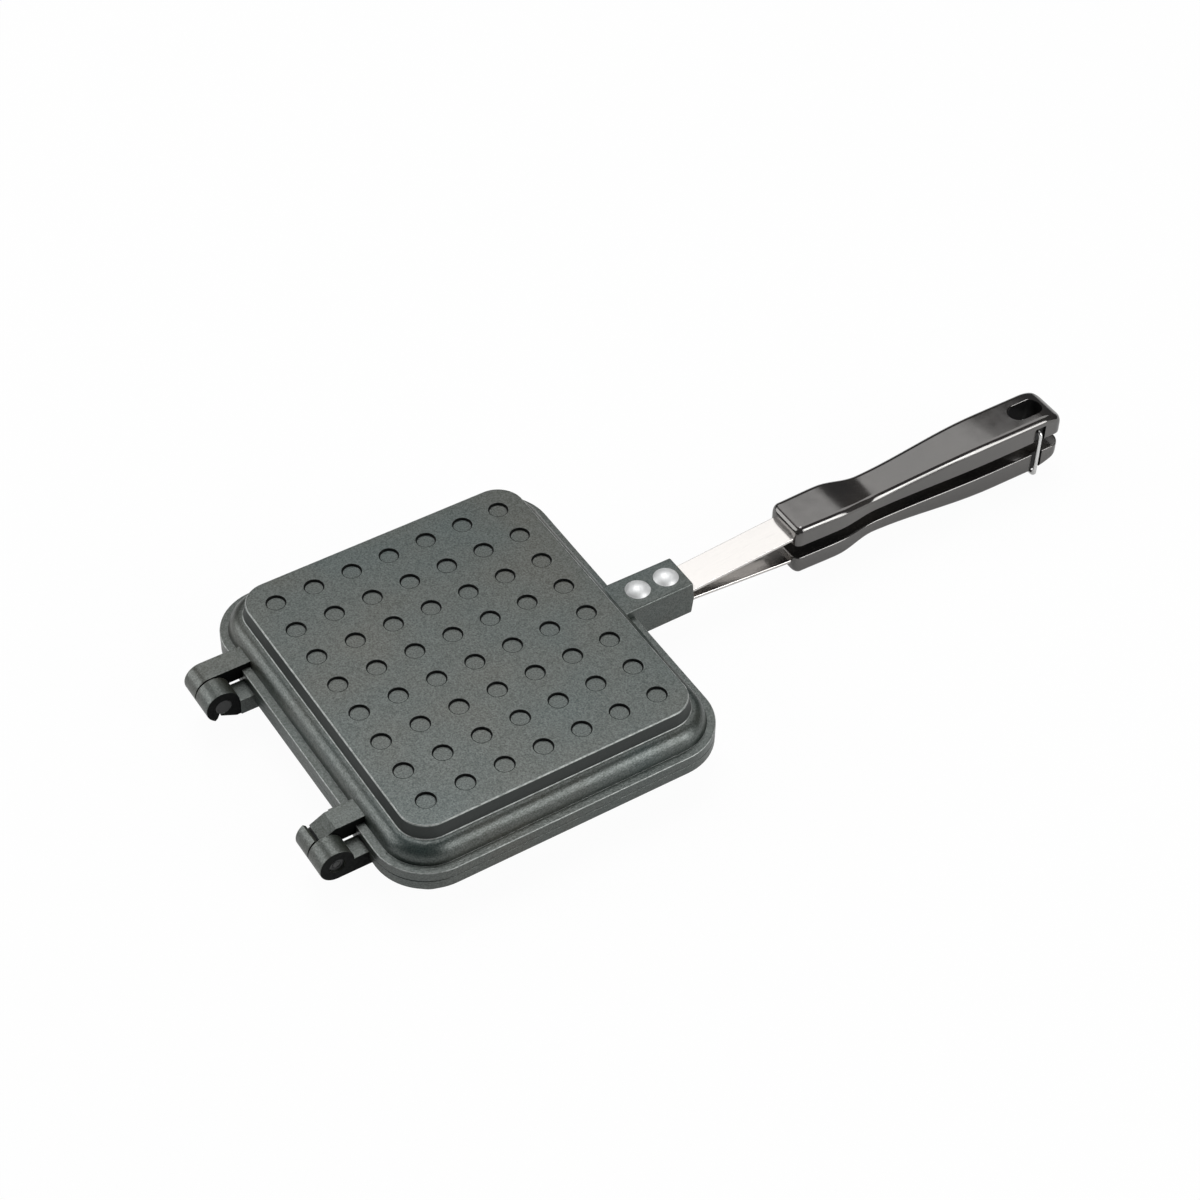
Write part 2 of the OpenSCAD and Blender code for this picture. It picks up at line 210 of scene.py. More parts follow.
# %% Solids from outlines
def loft(name, rings):
    """Joins closed rings of points one after another, and caps the first and the last."""
    n = len(rings[0])
    points = [point for ring in rings for point in ring]
    faces = [list(range(n)), list(range(len(points) - 1, len(points) - n - 1, -1))]
    faces += [[i * n + k, i * n + (k + 1) % n, (i + 1) * n + (k + 1) % n, (i + 1) * n + k]
              for i in range(len(rings) - 1) for k in range(n)]
    return solid(name, points, faces)


def prism(name, outline, y0, y1, edge=0.0):
    """A side-view outline (x, z) drawn out along Y, with the edges of both ends rounded."""
    made = loft(name, [[(x, y, z) for x, z in outline] for y in (y0, y1)])
    if edge:
        round_edges(made, lambda e: abs(e.verts[0].co.y - e.verts[1].co.y) < 1e-5, edge)
    return made


def rod(name, x, z, y0, y1, radius, sides=64):
    return prism(name, arc(x, z, radius, 0, 360 * (1 - 1 / sides), sides - 1), y0, y1)


def block(name, low, high):
    return loft(name, [[(low[0], low[1], z), (high[0], low[1], z), (high[0], high[1], z),
                        (low[0], high[1], z)] for z in (low[2], high[2])])


def turned(name, outline, sides):
    """Turns an (r, z) outline about Z. Points on the axis become poles."""
    points, faces, rings = [], [], []
    for r, z in outline:
        if r < 1e-6:
            rings.append([len(points)])
            points.append((0, 0, z))
        else:
            rings.append(list(range(len(points), len(points) + sides)))
            points += [(r * math.cos(2 * math.pi * k / sides),
                        r * math.sin(2 * math.pi * k / sides), z) for k in range(sides)]
    for a, b in zip(rings, rings[1:]):
        for k in range(sides):
            n = (k + 1) % sides
            face = [a[k % len(a)], a[n % len(a)], b[n % len(b)], b[k % len(b)]]
            faces.append(list(dict.fromkeys(face)))
    return solid(name, points, faces)


# %% [markdown]
# ## Node recipes
# What repeats, or runs along a path, is made by Geometry Nodes. Each recipe takes the shape
# to repeat, or the profile to sweep, from the object that carries it, has named inputs for
# its sizes, and ends by making real mesh of its copies and giving them their material.

# %% Recipe helpers
def recipe(title, numbers):
    """An empty node tree with a geometry input, named number inputs and an output."""
    tree = bpy.data.node_groups.new(title, "GeometryNodeTree")
    tree.interface.new_socket(name="Shape", in_out="INPUT", socket_type="NodeSocketGeometry")
    for name, kind in numbers:
        tree.interface.new_socket(name=name, in_out="INPUT", socket_type=kind)
    tree.interface.new_socket(name="Mesh", in_out="OUTPUT", socket_type="NodeSocketGeometry")
    return tree, tree.nodes.new("NodeGroupInput"), tree.nodes.new("NodeGroupOutput")


def end_recipe(tree, last, source, output):
    """Every recipe ends in real mesh with its material set."""
    real = tree.nodes.new("GeometryNodeRealizeInstances")
    paint = tree.nodes.new("GeometryNodeSetMaterial")
    tree.interface.new_socket(name="Material", in_out="INPUT",
                              socket_type="NodeSocketMaterial")
    tree.links.new(last, real.inputs[0])
    tree.links.new(real.outputs[0], paint.inputs["Geometry"])
    tree.links.new(source.outputs["Material"], paint.inputs["Material"])
    tree.links.new(paint.outputs[0], output.inputs[0])


def follow(made, tree, material, **values):
    """Runs a recipe on an object, with its inputs set by name, and keeps the plain mesh."""
    step = made.modifiers.new(tree.name, "NODES")
    step.node_group = tree
    names = {s.name: s.identifier for s in tree.interface.items_tree if s.in_out == "INPUT"}
    step[names["Material"]] = material
    for name, value in values.items():
        step[names[name.replace("_", " ")]] = value
    bake(made)
    made.data.materials.clear()
    made.data.materials.append(material)
    return made


# %% [markdown]
# ## Finishes
# Ten surfaces on the iron: the sandy non-stick coat, the same coat made near black as painted
# shade in the recesses and on the hinge's flat sides, darkened as painted shade on the steep
# step and lightened as a painted highlight along an edge, the darker coat on the hinge pins,
# polished strap steel, the satin aluminium of the rivets, bright spring wire, moulded phenolic
# for the grips, and the same phenolic darkened as painted shade in the hole and the pockets.
# Each reads Object coordinates in metres, so a noise scale of 1000 has features about a
# millimetre across.

# %% Material helpers
RAMP_STOPS = (0.3, 0.7)


def finish(name, colour, metallic, roughness, specular=0.5, ior=1.5):
    """A material with its main numbers set on the shader's own sockets."""
    made = bpy.data.materials.new(name)
    made.use_nodes = True
    shader = made.node_tree.nodes["Principled BSDF"]
    shader.inputs["Base Color"].default_value = (*colour, 1)
    shader.inputs["Metallic"].default_value = metallic
    shader.inputs["Roughness"].default_value = roughness
    shader.inputs["Specular IOR Level"].default_value = specular
    shader.inputs["IOR"].default_value = ior
    return made, shader


def noise(shader, scale, detail=3.0, stretch=(1, 1, 1)):
    """A noise on Object coordinates, stretched along an axis where the surface is brushed."""
    nodes, links = shader.id_data.nodes, shader.id_data.links
    place = nodes.new("ShaderNodeTexCoord")
    turn = nodes.new("ShaderNodeMapping")
    turn.inputs["Scale"].default_value = stretch
    texture = nodes.new("ShaderNodeTexNoise")
    texture.inputs["Scale"].default_value = scale
    texture.inputs["Detail"].default_value = detail
    links.new(place.outputs["Object"], turn.inputs["Vector"])
    links.new(turn.outputs[0], texture.inputs["Vector"])
    return texture.outputs["Fac"]


def grains(shader, scale):
    """Rounded grains packed side by side, like sprayed grit under a coat."""
    nodes, links = shader.id_data.nodes, shader.id_data.links
    place = nodes.new("ShaderNodeTexCoord")
    texture = nodes.new("ShaderNodeTexVoronoi")
    texture.feature = "SMOOTH_F1"
    texture.inputs["Scale"].default_value = scale
    links.new(place.outputs["Object"], texture.inputs["Vector"])
    return texture.outputs["Distance"]


def vary(shader, socket, fac, low, high):
    """Lets a noise move one of the shader's sockets between two values or two colours."""
    nodes, links = shader.id_data.nodes, shader.id_data.links
    ramp = nodes.new("ShaderNodeValToRGB")
    for stop, place, value in zip(ramp.color_ramp.elements, RAMP_STOPS, (low, high)):
        stop.position = place
        stop.color = (*(value if isinstance(value, tuple) else (value,) * 3), 1)
    links.new(fac, ramp.inputs["Fac"])
    links.new(ramp.outputs["Color"], shader.inputs[socket])


def bump(shader, height, depth, strength):
    """Adds a noise to the surface as bump, over any bump that it already has."""
    nodes, links = shader.id_data.nodes, shader.id_data.links
    node = nodes.new("ShaderNodeBump")
    node.inputs["Strength"].default_value = strength
    node.inputs["Distance"].default_value = depth
    links.new(height, node.inputs["Height"])
    below = [link.from_socket for link in shader.inputs["Normal"].links]
    if below:
        links.new(below[0], node.inputs["Normal"])
    links.new(node.outputs["Normal"], shader.inputs["Normal"])


# %% [markdown]
# ### Non-stick coat
# A sprayed coat on a die casting is satin, with a fine sandy grain and a slightly uneven
# tone where it was heated. A wide noise wanders between a warm and a cold black. Narrower
# ones move the roughness and, most of all, the strength of the reflection, which is what
# the eye reads as sand. The bump is only fine grit, because a deep one would blur the
# reflections. The sheen is a little strong for paint and tinted a faint green.
#
# On the dimples' walls, at the foot of the shoulder and on the hinge's flat sides the coat is
# made nearly black and dull: painted shade. On the step below the raised face it is between
# the two, also painted shade. Along the edges a lighter coat, broken by a noise, is a painted
# highlight line.

# %% Non-stick coat
COAT_IOR, COAT_SHEEN = 1.66, (0.93, 1.0, 0.965, 1)


def coat(name, colour, roughness, specular):
    """The sandy coat, with its tint in the sheen as well as in the colour."""
    made, shader = finish(name, colour, 0.0, roughness, specular, COAT_IOR)
    shader.inputs["Specular Tint"].default_value = COAT_SHEEN
    return made, shader


coating, shader = coat("nonstick_coat", (0.012, 0.015, 0.014), roughness=0.38, specular=1.0)
vary(shader, "Base Color", noise(shader, 26, 2), (0.020, 0.017, 0.010), (0.009, 0.019, 0.018))
vary(shader, "Roughness", noise(shader, 600), 0.33, 0.44)
vary(shader, "Specular IOR Level", noise(shader, 1600), 0.40, 1.0)
bump(shader, grains(shader, 1600), depth=0.05 * MM, strength=1.0)
bump(shader, noise(shader, 3200, 2), depth=0.02 * MM, strength=1.0)

# %% Painted shade in the recesses and on the step, painted highlight on the edges
# Near black and hardly reflecting: painted shade in the dimples, at the shoulder's foot and on
# the hinge's sides.
painted_shade_coat, shader = coat("painted_shade_coat", (0.003, 0.0033, 0.0033), roughness=0.7,
                           specular=0.08)
vary(shader, "Roughness", noise(shader, 700), 0.6, 0.8)
bump(shader, grains(shader, 1300), depth=0.1 * MM, strength=0.6)

# Darker and duller than the coat: painted shade on the step below the raised face.
riser_shade_coat, shader = coat("riser_shade_coat", (0.011, 0.0125, 0.012), roughness=0.6, specular=0.4)
bump(shader, grains(shader, 1300), depth=0.1 * MM, strength=0.6)

# Lighter than the coat and broken by a noise: a painted highlight line along the edges.
edge_highlight_coat, shader = coat("edge_highlight_coat", (0.20, 0.21, 0.205), roughness=0.36, specular=1.0)
vary(shader, "Base Color", noise(shader, 700, 4), (0.05, 0.055, 0.05), (0.36, 0.37, 0.36))
bump(shader, grains(shader, 1900), depth=0.06 * MM, strength=0.6)

# %% Pin coat
pin_coat, shader = finish("pin_coat", (0.014, 0.015, 0.015), metallic=0.0, roughness=0.4)
vary(shader, "Roughness", noise(shader, 1500), 0.30, 0.46)
bump(shader, noise(shader, 3000), depth=0.03 * MM, strength=0.4)

# %% [markdown]
# ### Bare metals
# The straps are polished strip: bright, with faint lines along their length from rolling.
# The rivets are aluminium, satin and slightly uneven from the hammer. The wire is drawn
# bright. Metals are almost all reflection, so their roughness carries the finish.

# %% Bare metals
ROLLED, ROLLED_FINE = (0.03, 1, 1), (0.02, 1, 1)

strap_steel, shader = finish("strap_steel", (0.62, 0.60, 0.58), metallic=1.0, roughness=0.16)
vary(shader, "Roughness", noise(shader, 1800, 3, ROLLED), 0.10, 0.24)
bump(shader, noise(shader, 2400, 2, ROLLED_FINE), depth=0.01 * MM, strength=0.25)

rivet_metal, shader = finish("rivet_aluminium", (0.76, 0.77, 0.77), metallic=0.6,
                             roughness=0.5)
vary(shader, "Roughness", noise(shader, 1400), 0.46, 0.58)
bump(shader, noise(shader, 700), depth=0.06 * MM, strength=0.35)

wire_steel, shader = finish("bail_wire", (0.72, 0.72, 0.71), metallic=1.0, roughness=0.2)
vary(shader, "Roughness", noise(shader, 2500), 0.14, 0.28)
bump(shader, noise(shader, 3200), depth=0.01 * MM, strength=0.2)

# %% [markdown]
# ### Phenolic
# Phenolic is pressed in a hot polished mould, so it comes out glossy and almost black, with
# a faint waviness that shows in long reflections and a few duller patches from handling.
# In the hole and the pockets a darker, duller phenolic is painted shade.

# %% Phenolic
phenolic, shader = finish("phenolic", (0.014, 0.013, 0.012), metallic=0.0, roughness=0.12,
                          specular=1.0, ior=1.65)
shader.inputs["Specular Tint"].default_value = (1.0, 0.975, 0.95, 1)
vary(shader, "Base Color", noise(shader, 45, 2), (0.011, 0.011, 0.011), (0.022, 0.020, 0.018))
vary(shader, "Roughness", noise(shader, 160), 0.09, 0.16)
bump(shader, noise(shader, 120, 2), depth=0.04 * MM, strength=0.2)

# Darker and hardly reflecting: painted shade in the hanging hole and the wire pockets.
shaded_phenolic, shader = finish("shaded_phenolic", (0.008, 0.008, 0.008), metallic=0.0,
                               roughness=0.35, specular=0.2)
vary(shader, "Roughness", noise(shader, 300), 0.3, 0.5)
bump(shader, noise(shader, 900, 2), depth=0.04 * MM, strength=0.4)

# %% [markdown]
# ## The casting's skin
# Seen from above, a plate is a rectangle with round corners, and everything on its edge,
# the upright rim, the ledge, the round shoulder and the steep step, runs all the way round
# it. So one profile is swept along the outline by a recipe. The profile starts inside the
# cavity, turns under the land where the plates meet, and climbs to the raised face. Small
# radii at its corners are what catches the light.

# %% Sweep recipe
sweep, source, target = recipe("Skin round the plate", [
    ("Length", "NodeSocketFloat"), ("Width", "NodeSocketFloat"),
    ("Corner radius", "NodeSocketFloat"), ("Corner steps", "NodeSocketInt")])
nodes, links = sweep.nodes, sweep.links
outline = nodes.new("GeometryNodeCurvePrimitiveQuadrilateral")
corners = nodes.new("GeometryNodeFilletCurve")
corners.mode = "POLY"
upright = nodes.new("GeometryNodeSetCurveNormal")
upright.mode = "Z_UP"
as_curve = nodes.new("GeometryNodeMeshToCurve")
skin = nodes.new("GeometryNodeCurveToMesh")
links.new(source.outputs["Length"], outline.inputs["Width"])
links.new(source.outputs["Width"], outline.inputs["Height"])
links.new(outline.outputs[0], corners.inputs["Curve"])
links.new(source.outputs["Corner radius"], corners.inputs["Radius"])
links.new(source.outputs["Corner steps"], corners.inputs["Count"])
links.new(corners.outputs[0], upright.inputs["Curve"])
links.new(upright.outputs[0], skin.inputs["Curve"])
links.new(source.outputs["Shape"], as_curve.inputs[0])
links.new(as_curve.outputs[0], skin.inputs["Profile Curve"])
end_recipe(sweep, skin.outputs[0], source, target)

# %% Profile of the edge
RIDGE = LEDGE_W
FACE = LEDGE_W + SHOULDER_W + STEP_W
CEILING = PLATE_H - FACE_T
CAVITY_DROP, FLAT_RIM = 0.8, 4.0
CEILING_R, CAVITY_R, LAND_R, LIP_EDGE_R = 1.2, 0.8, 0.3, 0.25
RIM_R, RIDGE_R, FOOT_R, EDGE_R = 0.5, 0.35, 0.6, 0.8


def shoulder(inset, width, z0, height, steps):
    """Quarter ellipse from its foot up to its top, as (inset, height) points."""
    return [(inset + width * (1 - math.cos(math.radians(90 * i / steps))),
             z0 + height * math.sin(math.radians(90 * i / steps))) for i in range(steps + 1)]


inner = shoulder(RIDGE + WALL, SHOULDER_W, RIM_H - CAVITY_DROP,
                 SHOULDER_H + CAVITY_DROP - WALL, 12)[::-1]
outer = shoulder(RIDGE, SHOULDER_W, RIM_H, SHOULDER_H, 16)
stops = [((FACE + WALL + FLAT_RIM, CEILING), 0), ((FACE + WALL, CEILING), CEILING_R),
         (inner[0], CAVITY_R)] + [(p, 0) for p in inner[1:]]
stops += [((LAND_W, HALF_GAP), LAND_R), ((0, HALF_GAP), LIP_EDGE_R), ((0, RIM_H), RIM_R),
          ((RIDGE, RIM_H), RIDGE_R)] + [(p, 0) for p in outer[1:-1]]
stops += [(outer[-1], FOOT_R), ((FACE, PLATE_H), EDGE_R), ((FACE + FLAT_RIM, PLATE_H), 0)]
profile = rounded([p for p, _ in stops], [r for _, r in stops], steps=5)
print("edge profile of", len(profile), "points")

# %% Sweep the skin
profile_mesh = bpy.data.meshes.new("skin")
profile_mesh.from_pydata([(-inset, -z, 0) for inset, z in profile],
                         [(i, i + 1) for i in range(len(profile) - 1)], [])
casting = follow(new_object("casting", profile_mesh), sweep, coating, Length=PLATE_L,
                 Width=PLATE_W, Corner_radius=CORNER_R, Corner_steps=18)
# Besides the coat: near-black painted shade, a painted highlight line, and a lighter painted
# shade for the step.
for second_coat in (painted_shade_coat, edge_highlight_coat, riser_shade_coat):
    casting.data.materials.append(second_coat)
COAT, PAINTED_SHADE, EDGE_HIGHLIGHT, RISER_SHADE = range(4)

# %% [markdown]
# ### Finish by place
# Which coat a face of the skin gets follows from its height and from how flat it lies. The
# rim's edge, the top of the shoulder and the raised face's edge get painted highlight lines,
# the foot of the shoulder gets the near-black painted shade, and the step between shoulder
# and face a lighter painted shade. Flatness is the upright part of the face's normal: 0 on a
# wall and 1 on level ground.

# %% Finish by place
SHOULDER_Z, EDGE_Z = RIM_H + SHOULDER_H, PLATE_H - 0.75 * EDGE_R
HIGHLIGHT_BELOW, HIGHLIGHT_ABOVE, FOOT_LINE, MARGIN = 0.4, 0.35, 0.4, 0.02
ANY_WALL, WALL_FLATNESS = -1, 0.5
# Each band: lowest and highest height, least and most flatness, and the coat it gets: painted
# highlight on the edges, painted shade at the shoulder's foot and on the step.
BANDS = (
    (RIM_H - HIGHLIGHT_BELOW, RIM_H - MARGIN, 0.3, 0.97, EDGE_HIGHLIGHT),
    (RIM_H, RIM_H + FOOT_LINE, ANY_WALL, WALL_FLATNESS, PAINTED_SHADE),
    (SHOULDER_Z - HIGHLIGHT_BELOW, SHOULDER_Z + HIGHLIGHT_ABOVE, WALL_FLATNESS, 0.93, EDGE_HIGHLIGHT),
    (SHOULDER_Z + HIGHLIGHT_ABOVE, EDGE_Z, ANY_WALL, WALL_FLATNESS, RISER_SHADE),
    (EDGE_Z, PLATE_H - MARGIN, 0.35, 0.97, EDGE_HIGHLIGHT))


def outside(face):
    """True on the skin's outer side. Until the casting is closed its faces look inward."""
    return face.normal.x * face.center.x + face.normal.y * face.center.y < 0


for low, high, least_flat, most_flat, finish_index in BANDS:
    mark(casting, finish_index, lambda face: outside(face) and low < face.center.z < high
         and least_flat < abs(face.normal.z) < most_flat)
print("skin:", len(casting.data.polygons), "faces, by finish:",
      [sum(face.material_index == i for face in casting.data.polygons)
       for i in (COAT, PAINTED_SHADE, EDGE_HIGHLIGHT, RISER_SHADE)])

# %% [markdown]
# ## Dimples
# The raised face has 7 by 8 round dimples that let fat run off and hold heat. A dimple is
# an open bowl with a rounded lip and a rounded foot. One bowl is turned on paper, and a
# recipe copies it over a grid. The flat face is then filled in between the 56 lips and the
# skin, so nothing overlaps and each lip is part of the casting.

# %% Grid recipe
grid, source, target = recipe("Dimple field", [
    ("Pitch", "NodeSocketFloat"), ("Columns", "NodeSocketInt"), ("Rows", "NodeSocketInt")])
nodes, links = grid.nodes, grid.links


def span(count):
    """Distance from the first to the last of a row: pitch times one less than the count."""
    less, times = nodes.new("ShaderNodeMath"), nodes.new("ShaderNodeMath")
    less.operation, times.operation = "SUBTRACT", "MULTIPLY"
    less.inputs[1].default_value = 1
    links.new(count, less.inputs[0])
    links.new(less.outputs[0], times.inputs[0])
    links.new(source.outputs["Pitch"], times.inputs[1])
    return times.outputs[0]


places = nodes.new("GeometryNodeMeshGrid")
copies = nodes.new("GeometryNodeInstanceOnPoints")
links.new(span(source.outputs["Columns"]), places.inputs["Size X"])
links.new(span(source.outputs["Rows"]), places.inputs["Size Y"])
links.new(source.outputs["Columns"], places.inputs["Vertices X"])
links.new(source.outputs["Rows"], places.inputs["Vertices Y"])
links.new(places.outputs["Mesh"], copies.inputs["Points"])
links.new(source.outputs["Shape"], copies.inputs["Instance"])
end_recipe(grid, copies.outputs[0], source, target)

# %% Bowls
DIMPLE_R, DIMPLE_DEPTH, DIMPLE_DRAFT = 3.7, 0.95, 0.12
PITCH, COLUMNS, ROWS = 16.5, 7, 8
LIP_R, LIP_W, BOWL_FOOT_R, BOWL_SIDES = 0.38, 0.5, 0.12, 40
BOWL_FLATNESS = 0.988

bowl_floor = PLATE_H - DIMPLE_DEPTH
bowl_line = rounded([(DIMPLE_R + LIP_W, PLATE_H), (DIMPLE_R, PLATE_H),
                     (DIMPLE_R - DIMPLE_DRAFT, bowl_floor), (0, bowl_floor)],
                    [0, LIP_R, BOWL_FOOT_R, 0], steps=4)
bowls = follow(turned("bowls", bowl_line, BOWL_SIDES), grid, coating, Pitch=PITCH,
               Columns=COLUMNS, Rows=ROWS)
# The bowls' walls get the near-black coat: painted shade.
mark(bowls, PAINTED_SHADE, lambda face: abs(face.normal.z) < BOWL_FLATNESS)
print("dimples:", len(bowls.data.polygons), "faces")

# %% Close the casting
work = bmesh.new()
work.from_mesh(casting.data)
work.from_mesh(bowls.data)
bmesh.ops.remove_doubles(work, verts=work.verts, dist=SAME_POINT)


def fill_flat(z):
    """Fills the flat region between all open edges at one height."""
    rims = [e for e in work.edges if e.is_boundary
            and all(abs(v.co.z - z) < 1e-3 for v in e.verts)]
    bmesh.ops.triangle_fill(work, use_beauty=True, edges=rims)


fill_flat(PLATE_H)
fill_flat(CEILING)
bmesh.ops.recalc_face_normals(work, faces=work.faces)
print("open edges left:", sum(e.is_boundary for e in work.edges))
work.to_mesh(casting.data)
work.free()
bpy.data.objects.remove(bowls)

# %% [markdown]
# ## Split hinge
# Each half has one closed lug that carries a fixed pin, and one hook with a slit eye that
# snaps over the other half's pin. Slide the halves sideways and they come apart for
# washing. Seen from the side, both are outlines, so they are drawn out along Y with
# their end edges rounded, and joined to the plate. Their flat sides get the near-black coat,
# painted shade.
#
# The arms' undersides lie a hair above the plate's, and the web behind the hook lies a hair
# inside it, because solids are joined cleanly only where no two faces share a plane.

# %% Hinge sizes
PIN_OUT, PIN_R, PIN_RECESS, EYE_R = 13.0, 3.25, 0.9, 7.0
PIN_X = -PLATE_L / 2 - PIN_OUT
LUG_Y, LUG_T, HOOK_T, SEAM = 54.5, 9.3, 9.2, 0.5
LUG_Y0 = LUG_Y - LUG_T
HOOK_Y1 = LUG_Y0 - SEAM
HOOK_Y0 = HOOK_Y1 - HOOK_T
ARM_END = -PLATE_L / 2 + LEDGE_W + WALL / 2
ARM_H, ARM_BEND_R, HOOK_WEB = 7.5, 1.2, 0.5
ARM_Z0, INSET = HALF_GAP + 0.03, 0.03
LUG_EDGE, HOOK_EDGE, WEB_EDGE = 0.45, 0.3, 0.2
THROUGH = 1.0

# %% Pin lug
lug_outline = ([(ARM_END, ARM_Z0), (ARM_END, EYE_R)]
               + arc(PIN_X, 0, EYE_R, 90, 359, 44) + [(PIN_X + EYE_R, ARM_Z0)])
lug = prism("lug", lug_outline, LUG_Y0, LUG_Y, LUG_EDGE)
bore = rod("bore", PIN_X, 0, LUG_Y0 - THROUGH, LUG_Y + THROUGH, PIN_R)
combine(lug, [bore], "DIFFERENCE")

# %% Hook
MOUTH_X, MOUTH_Z = PIN_X - 1.68, 4.06
MOUTH_FRONT, MOUTH_BACK = (MOUTH_X + 0.447, MOUTH_Z + 0.227), (MOUTH_X - 0.876, MOUTH_Z + 0.808)
MOUTH_START, MOUTH_END, MOUTH_TIP = 103.9, -238.9, 122.0
ARM_CORNER = (PIN_X + 5.11, ARM_H)
HOOK_BORE_R = PIN_R + 0.08
SIDE_FLATNESS = 0.9
hook_points = ([(ARM_END, ARM_Z0), (ARM_END, ARM_H), ARM_CORNER, MOUTH_FRONT]
               + arc(PIN_X, 0, HOOK_BORE_R, MOUTH_START, MOUTH_END, 40) + [MOUTH_BACK]
               + arc(PIN_X, 0, EYE_R, MOUTH_TIP, 359, 40) + [(PIN_X + EYE_R, ARM_Z0)])
hook_radii = [ARM_BEND_R if point == ARM_CORNER else 0 for point in hook_points]
hook_outline = rounded(hook_points, hook_radii, steps=5, closed=True)
hook = prism("hook", hook_outline, -HOOK_Y1, -HOOK_Y0, HOOK_EDGE)
# The lug's and the hook's flat sides get the near-black coat: painted shade.
for part in (lug, hook):
    mark(part, PAINTED_SHADE, lambda face: abs(face.normal.y) > SIDE_FLATNESS)
web_x, web_z0, web_z1 = ARM_END + INSET, ARM_Z0 + INSET, ARM_H - INSET
web = prism("web", [(PIN_X + EYE_R, web_z0), (web_x, web_z0), (web_x, web_z1),
                    (PIN_X + EYE_R, web_z1)], -HOOK_Y0 - THROUGH, -HOOK_Y0 + HOOK_WEB, WEB_EDGE)
print("hook outline of", len(hook_outline), "points")

# %% [markdown]
# ## Handle stub
# A cast tongue carries the strap. It is a tapered block with rounded upper edges, and its
# underside has a channel for the strap, so the two tongues close into one block when the
# iron is shut. Two holes take the rivets.

# %% Stub
STUB_X0 = PLATE_L / 2 - LEDGE_W - WALL / 2
STUB_X1 = PLATE_L / 2 + 28.0
STUB_W0, STUB_W1, STUB_H, STUB_DRAFT = 17.4, 17.0, 8.2, 0.9
STUB_EDGE, STUB_END_EDGE, STUB_END_L, STUB_GAP = 0.9, 0.4, 1.5, 0.02
STRAP_W, STRAP_T, STRAP_Z0, STRAP_Z1 = 14.4, 1.5, 1.6, 5.4
STRAP_X0 = PLATE_L / 2 + 0.6
RIVET_END, RIVET_PITCH = 8.2, 13.1
RIVET_X = (STUB_X1 - RIVET_END - RIVET_PITCH, STUB_X1 - RIVET_END)
SHANK_R, SHANK_SIDES = 2.5, 32


def stub_block():
    """A tapered block whose free end leans back by the draft and has its edges rounded."""
    rings = []
    for x, half_w, draft in ((STUB_X0, STUB_W0 / 2, 0.0), (STUB_X1, STUB_W1 / 2, STUB_DRAFT)):
        section = rounded([(-half_w, STUB_GAP), (half_w, STUB_GAP), (half_w, STUB_H),
                           (-half_w, STUB_H)], [0, 0, STUB_EDGE, STUB_EDGE],
                          steps=5, closed=True)
        rings.append([(x - draft * (z - HALF_GAP) / STUB_H, y, z) for y, z in section])
    made = loft("stub", rings)
    round_edges(made, lambda e: min(v.co.x for v in e.verts) > STUB_X1 - STUB_END_L,
                STUB_END_EDGE)
    return made


def shank_cuts(top):
    """A round cutter for each rivet's shank, from the parting plane up to a height."""
    cuts = []
    for x in RIVET_X:
        cut = turned("shank_cut", [(0, 0), (SHANK_R, 0), (SHANK_R, top), (0, top)],
                     SHANK_SIDES)
        cut.data.transform(Matrix.Translation((x, 0, 0)))
        cuts.append(cut)
    return cuts


stub = stub_block()
channel = block("channel", (STRAP_X0, -STRAP_W / 2, -THROUGH),
                (STUB_X1 + 5 * THROUGH, STRAP_W / 2, STRAP_Z0 + STRAP_T))
combine(stub, [channel], "DIFFERENCE")

# %% Join the casting
combine(casting, [lug, hook, web, stub], "UNION")
combine(casting, shank_cuts(STUB_H + THROUGH), "DIFFERENCE")
smooth(casting)
print("casting:", len(casting.data.polygons), "faces")

# %% Place both castings
for half in HALVES:
    piece = half_piece(casting, half, f"{half}_casting")
    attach(piece, f"{half}_half")
    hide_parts(f"{half}_plate")

# %% [markdown]
# ## Hinge pins
# A pin is a plain rod pressed into its lug, a little short of the lug's outer face. Its
# end was turned, so it has a chamfer and a shallow ring round its middle.

# %% Pins
RING_OUT, RING_IN, RING_SLOPE, RING_DEPTH = 1.9, 1.35, 0.15, 0.25
PIN_END_R, PIN_TIP_R, PIN_SIDES = 0.35, 0.06, 56


def turned_pin():
    length = LUG_Y - PIN_RECESS - HOOK_Y0
    floor_z = length - RING_DEPTH
    line = rounded([(0, 0), (PIN_R, 0), (PIN_R, length), (RING_OUT, length),
                    (RING_OUT - RING_SLOPE, floor_z), (RING_IN + RING_SLOPE, floor_z),
                    (RING_IN, length), (0, length)],
                   [0, PIN_TIP_R, PIN_END_R, 0, 0, 0, 0, 0], steps=3)
    made = turned("pin", line, PIN_SIDES)
    turn = Matrix.Translation((PIN_X, HOOK_Y0, 0)) @ Matrix.Rotation(-math.pi / 2, 4, "X")
    made.data.transform(turn)
    return smooth(made)


pin = turned_pin()
for half, side in (("lower", "near"), ("upper", "far")):
    piece = half_piece(pin, half, f"{side}_pin")
    piece.data.materials.append(pin_coat)
    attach(piece, f"{half}_half")
    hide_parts(f"hinge_pin_{side}")

# %% [markdown]
# ## Straps
# A strap is steel strip, flat where it is riveted, bent outward beyond the stub and flat
# again in the grip. Its side view is an offset line with rounded bends, drawn out to the
# strip's width, with its long edges broken so that they catch a thin line of light.

# %% Straps
GRIP_X0 = STUB_X1 + 48.0
STRAP_X1 = GRIP_X0 + 37.0
BEND_X0, BEND_X1, BEND_R = STUB_X1 + 2.0, GRIP_X0 + 1.0, 8
STRAP_EDGE = 0.3


